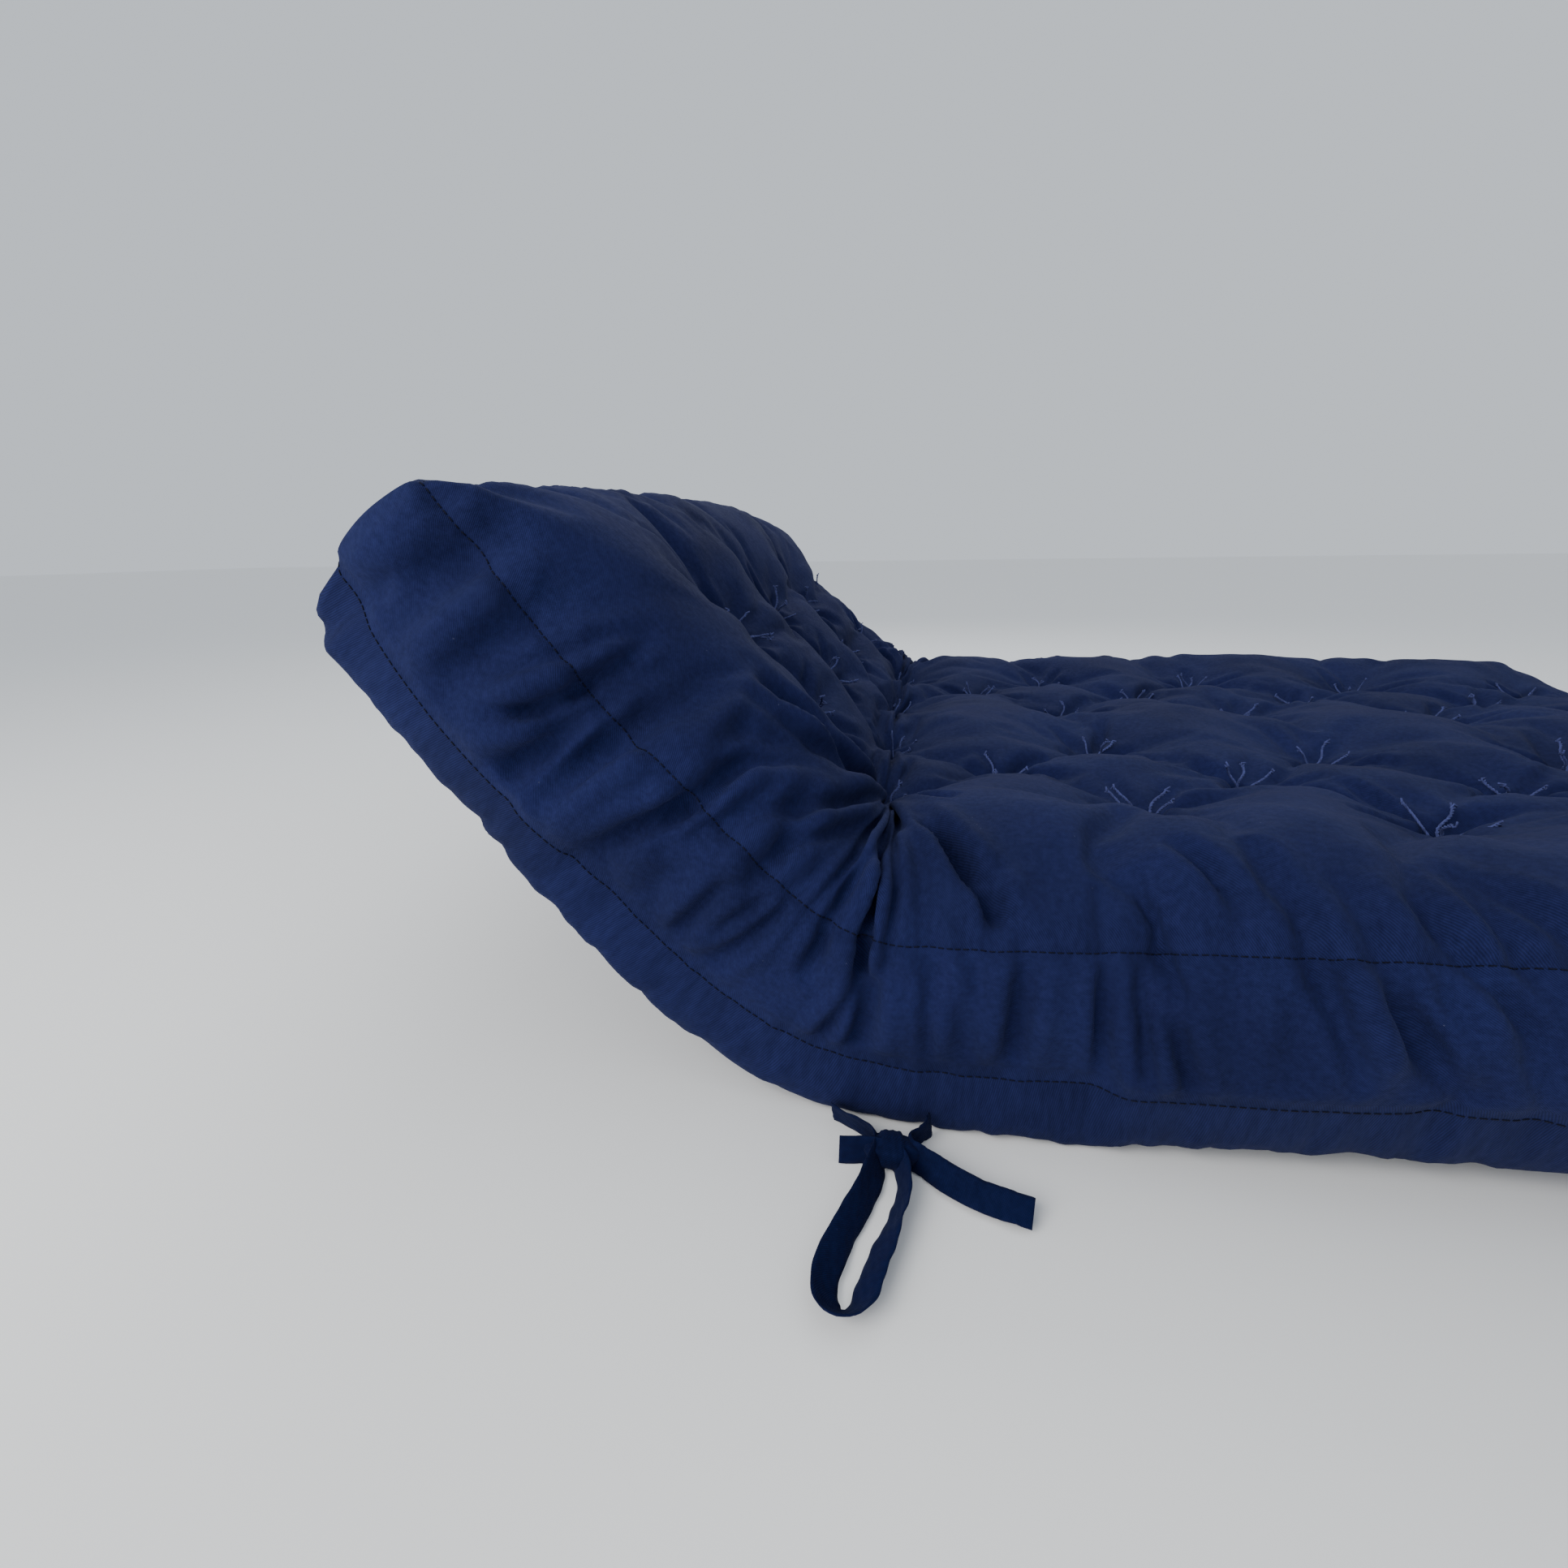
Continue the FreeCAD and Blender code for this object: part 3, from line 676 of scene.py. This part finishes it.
STITCH = 0.005  # length of a stitch
STITCH_PITCH = 0.0075
stitches = []
for distance in (up, low):
    line, out = seam_line(distance)
    run = np.concatenate([[0], np.cumsum(np.linalg.norm(np.diff(line, axis=0), axis=1))])
    for first in np.arange(0, run[-1] - 0.006, STITCH_PITCH):
        spots = np.linspace(first, first + STITCH, 3)
        path = np.column_stack([np.interp(spots, run, line[:, k]) for k in range(3)])
        facing = np.array([np.interp(first, run, out[:, k]) for k in range(3)])
        path += facing * 0.0007
        stitches.append(tube(path, 0.00055, 5))
verts, quads = joined(stitches)
verts[:, 2] = np.maximum(verts[:, 2], 0.0003)
stitching = add("seam_stitching", verts, quads, seam_thread)
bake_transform(stitching)


# ---------------------------------------------------------------- tufts
THREAD_LAY = 0.0075  # length of thread in one turn of its two plies


def surface_at(tuft_u, tuft_v):
    """The top panel's point at a tuft."""
    away = np.hypot(u - tuft_u, v - tuft_v) + np.where(top_part, 0, 9)
    return points[np.argmin(away)]


def tails(knot, upward):
    """A tuft's cut ends: two-ply thread, splayed and drooping, a little unlaid at the tips."""
    made = []
    flat_side = np.cross(upward, (0.0, 1.0, 0.0))
    flat_side /= np.linalg.norm(flat_side)
    other_side = np.cross(upward, flat_side)
    first = rng.uniform(0, 6.28)
    number = int(rng.integers(3, 5))
    for tail in range(number):
        turn = first + tail * 6.28 / number + rng.uniform(-0.5, 0.5)
        away = flat_side * math.cos(turn) + other_side * math.sin(turn)
        steep = rng.uniform(0.75, 1.3)
        length = rng.uniform(0.05, 0.066)
        s = np.linspace(0, 1, 26)[:, None]
        curl = rng.uniform(-0.35, 0.35)
        droop = rng.uniform(0.05, 0.25)
        sideways = np.cross(upward, away)
        path = knot + length * (
            s * (away * math.cos(steep) + upward * math.sin(steep))
            + s**2 * (sideways * curl - upward * droop * math.sin(steep))
            + 0.04 * np.sin(9 * s + first) * sideways
        )
        for ply in (0, math.pi):
            wind = FULL_TURN * s * length / THREAD_LAY + ply
            spread = 0.001 + 0.0026 * np.clip((s - 0.82) / 0.18, 0, 1) ** 2
            made.append(tube(path + spread * (np.cos(wind) * sideways + np.sin(wind) * upward), 0.0011, 6))
    return made


def knot_loops(knot, upward):
    """Three turns of thread drawn tight."""
    made = []
    side = np.cross(upward, (0.0, 1.0, 0.0))
    side /= np.linalg.norm(side)
    other = np.cross(upward, side)
    for turn_number in range(3):
        tip = rng.uniform(-0.6, 0.6, 2)
        t = np.linspace(0, FULL_TURN, 20)[:, None]
        ring = 0.0038 * (np.cos(t) * (side + tip[0] * upward) + np.sin(t) * (other + tip[1] * upward))
        made.append(tube(knot + ring + upward * 0.0013 * turn_number, 0.0015, 7))
    return made


for name, spots in TUFT_ROWS.items():
    tubes = []
    for tuft_u, tuft_v in spots:
        spot = surface_at(tuft_u, tuft_v)
        turned_up = float(turn_at(tuft_u))
        upward = np.array([math.sin(turned_up), 0.0, math.cos(turned_up)])
        knot = spot + upward * 0.006
        tubes += knot_loops(knot, upward) + tails(knot, upward)
    verts, quads = joined(tubes)
    row_piece = add(name, verts, quads, tuft_thread)
    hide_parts(name)
    if name == "tuft_row_fold":
        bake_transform(row_piece)
    else:
        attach(row_piece, "head_section" if "_head_" in name else "flat_section")


# ---------------------------------------------------------------- the tie
STRAP_WIDTH = 0.025
STRAP_CLOTH = 0.002  # thickness
STRAP_STEP = 0.003  # along the strap, between its rings of points
SECTION_STEP = 0.0028  # round it, between points
LIFT = 0.0127  # height of the straps' middle line
KNOT = Vector((0.080, -0.742, 0.0132))
# routes from the fold line, in plan; each strap passes through the knot
FIRST_STRAP = [
    (0.022, -0.702), (0.042, -0.713), (0.070, -0.726), (0.068, -0.758), (0.061, -0.792),
    (0.047, -0.832), (0.035, -0.872), (0.036, -0.893), (0.044, -0.905), (0.057, -0.905),
    (0.066, -0.894), (0.069, -0.874), (0.081, -0.834), (0.093, -0.792), (0.090, -0.758),
    (0.080, -0.746), (0.055, -0.745), (0.044, -0.749), (0.033, -0.749),
]
SECOND_STRAP = [
    (0.114, -0.702), (0.110, -0.716), (0.094, -0.726), (0.092, -0.740), (0.105, -0.749),
    (0.130, -0.768), (0.162, -0.784), (0.196, -0.791),
]


def route_line(name, route):
    """Evenly spaced points on the smooth line of a route."""
    curve = bpy.data.curves.new(name + "_line", "CURVE")
    curve.dimensions = "3D"
    curve.resolution_u = 12
    spline = curve.splines.new("NURBS")
    spline.points.add(len(route) - 1)
    for control, (x, y) in zip(spline.points, route):
        control.co = (x + FOLD_X, y, LIFT, 1)
    spline.order_u = 3
    spline.use_endpoint_u = True
    holder = bpy.data.objects.new(name + "_line", curve)
    bpy.context.scene.collection.objects.link(holder)
    bpy.context.view_layer.update()
    traced = bpy.data.meshes.new_from_object(holder.evaluated_get(bpy.context.evaluated_depsgraph_get()))
    line = np.array([vertex.co for vertex in traced.vertices])
    bpy.data.objects.remove(holder)
    run = np.concatenate([[0], np.cumsum(np.linalg.norm(np.diff(line, axis=0), axis=1))])
    spots = np.linspace(0, run[-1], round(run[-1] / STRAP_STEP) + 1)
    return np.column_stack([np.interp(spots, run, line[:, k]) for k in range(3)]), run[-1]


def strap(name, route, leans):
    """A fabric strap along a route, leaning over from its edge by leans, which is a list of
    (share of the length, degrees)."""
    line, length = route_line(name, route)
    share = np.linspace(0, 1, len(line))
    angle = np.radians(np.interp(share, *zip(*leans)))
    angle = angle + 0.07 * np.sin(share * 31 + 1) + 0.05 * np.sin(share * 67)
    along = np.gradient(line, axis=0)
    along /= np.linalg.norm(along, axis=1, keepdims=True)
    side = np.cross(along, (0, 0, 1))
    wide = np.array((0, 0, 1)) * np.cos(angle)[:, None] + side * np.sin(angle)[:, None]
    thick = np.cross(along, wide)
    verts, quads, uv = [], [], []
    across = np.linspace(-1, 1, 9)
    section = [(a, 1 - 0.55 * abs(a) ** 8) for a in across]
    section += [(a, -b) for a, b in section[::-1]]
    ring = len(section)
    for k, centre in enumerate(line):
        cup = 0.0012 * math.sin(share[k] * 23)
        for a, b in section:
            offset = wide[k] * a * STRAP_WIDTH / 2
            ripple = 0.0004 * math.sin(9 * a + 140 * share[k])
            rise = thick[k] * (b * STRAP_CLOTH / 2 + cup * (a * a - 0.4) + ripple)
            verts.append(centre + offset + rise)
    for k in range(len(line) - 1):
        for s in range(ring):
            t = (s + 1) % ring
            quads.append((k * ring + s, k * ring + t, (k + 1) * ring + t, (k + 1) * ring + s))
            first, last = k * STRAP_STEP, (k + 1) * STRAP_STEP
            low_edge, high_edge = s * SECTION_STEP, (s + 1) * SECTION_STEP
            uv += [(first, low_edge), (first, high_edge), (last, high_edge), (last, low_edge)]
    for k in (0, len(line) - 1):
        end = [k * ring + s for s in range(ring)]
        quads.append(end if k else end[::-1])
        uv += [(0.001 * s, 0) for s in range(ring)]
    verts = np.array(verts)
    verts[:, 2] = np.maximum(verts[:, 2], 0.0006)
    made = add(name, verts, quads, tie_twill, uv)
    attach(made, "flat_section")
    return made


FIRST_LEANS = [(0, 10), (0.12, 25), (0.3, 50), (0.5, 52), (0.7, 50), (0.85, 20), (1, 15)]
SECOND_LEANS = [(0, 5), (0.3, -20), (0.6, -50), (1, -62)]
first_strap = strap("tie_first_strap", FIRST_STRAP, FIRST_LEANS)
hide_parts("tie_left_lead", "tie_loop", "tie_short_end")
second_strap = strap("tie_second_strap", SECOND_STRAP, SECOND_LEANS)
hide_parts("tie_right_lead", "tie_tail")


def knot_shape():
    """A half bow's knot: a band drawn round two puffed folds."""
    turns, steps = 72, 44
    verts, quads, uv = [], [], []
    for i in range(turns):
        round_x = FULL_TURN * i / turns
        for j in range(steps + 1):
            x = math.cos(math.pi * j / steps)
            out = max(0.0, 1 - abs(x) ** 2.6) ** 0.5
            band = float(smooth((0.42 - abs(x + 0.06 * math.sin(2 * round_x))) / 0.09))
            swell = 0.86 + 0.2 * band - 0.05 * math.cos(6 * round_x + 7 * x) * (1 - band)
            swell += 0.03 * band * math.sin(26 * x + 2 * round_x)
            y = out * swell * math.copysign(abs(math.sin(round_x)) ** 0.8, math.sin(round_x))
            z = out * swell * math.copysign(abs(math.cos(round_x)) ** 0.8, math.cos(round_x))
            verts.append((KNOT.x + FOLD_X + 0.026 * x, KNOT.y + 0.0165 * y, KNOT.z + 0.0119 * z))
    for i in range(turns):
        following = (i + 1) % turns
        for j in range(steps):
            base = [i * (steps + 1) + j, i * (steps + 1) + j + 1]
            quads.append((base[0], base[1], following * (steps + 1) + j + 1, following * (steps + 1) + j))
            uv += [(0.0012 * i, 0.0013 * j), (0.0012 * i, 0.0013 * (j + 1))]
            uv += [(0.0012 * (i + 1), 0.0013 * (j + 1)), (0.0012 * (i + 1), 0.0013 * j)]
    return verts, quads, uv


verts, quads, uv = knot_shape()
tie_knot = add("tie_half_bow_knot", verts, quads, tie_twill, uv)
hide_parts("tie_knot")
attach(tie_knot, "flat_section")

# ---------------------------------------------------------------- floor, light and camera
floor_mesh = bpy.data.meshes.new("floor")
floor_mesh.from_pydata([(-30, -30, 0), (30, -30, 0), (30, 30, 0), (-30, 30, 0)], [], [(0, 1, 2, 3)])
floor = bpy.data.objects.new("floor", floor_mesh)
bpy.context.scene.collection.objects.link(floor)
floor_paint, _, _, floor_shader = material("floor")
floor_shader.inputs["Base Color"].default_value = (0.9, 0.9, 0.89, 1)
floor_shader.inputs["Roughness"].default_value = 0.9
floor_mesh.materials.append(floor_paint)

world = bpy.data.worlds.new("studio")
world.use_nodes = True
world.node_tree.nodes["Background"].inputs[0].default_value = (0.86, 0.92, 1, 1)
world.node_tree.nodes["Background"].inputs[1].default_value = 0.8
bpy.context.scene.world = world


def area_light(name, at, towards, size, energy, colour):
    data = bpy.data.lights.new(name, "AREA")
    data.size = size
    data.energy = energy
    data.color = colour
    made = bpy.data.objects.new(name, data)
    made.location = at
    made.rotation_euler = (Vector(towards) - Vector(at)).to_track_quat("-Z", "Y").to_euler()
    bpy.context.scene.collection.objects.link(made)


area_light("window", (-0.4, 2.6, 2.6), (0.1, 0, 0.2), 1.6, 30, (0.95, 0.97, 1))
area_light("room", (-1.9, -2.7, 1.9), (-0.2, 0, 0.15), 2.0, 85, (1, 0.98, 0.95))

FOCAL = 950 / 1932  # focal length over the picture's width
camera_data = bpy.data.cameras.new("camera")
camera_data.sensor_width = 36
camera_data.lens = 36 * FOCAL
camera_data.shift_x = 0.0124
camera_data.shift_y = -0.0055
camera = bpy.data.objects.new("camera", camera_data)
camera.location = (FOLD_X + 0.0868, -1.323, 0.5344)
turned = Matrix.Rotation(math.radians(11.57), 4, "Z") @ Matrix.Rotation(math.radians(73.58), 4, "X")
camera.rotation_euler = (turned @ Matrix.Rotation(math.radians(-0.84), 4, "Z")).to_euler()
bpy.context.scene.collection.objects.link(camera)
bpy.context.scene.camera = camera
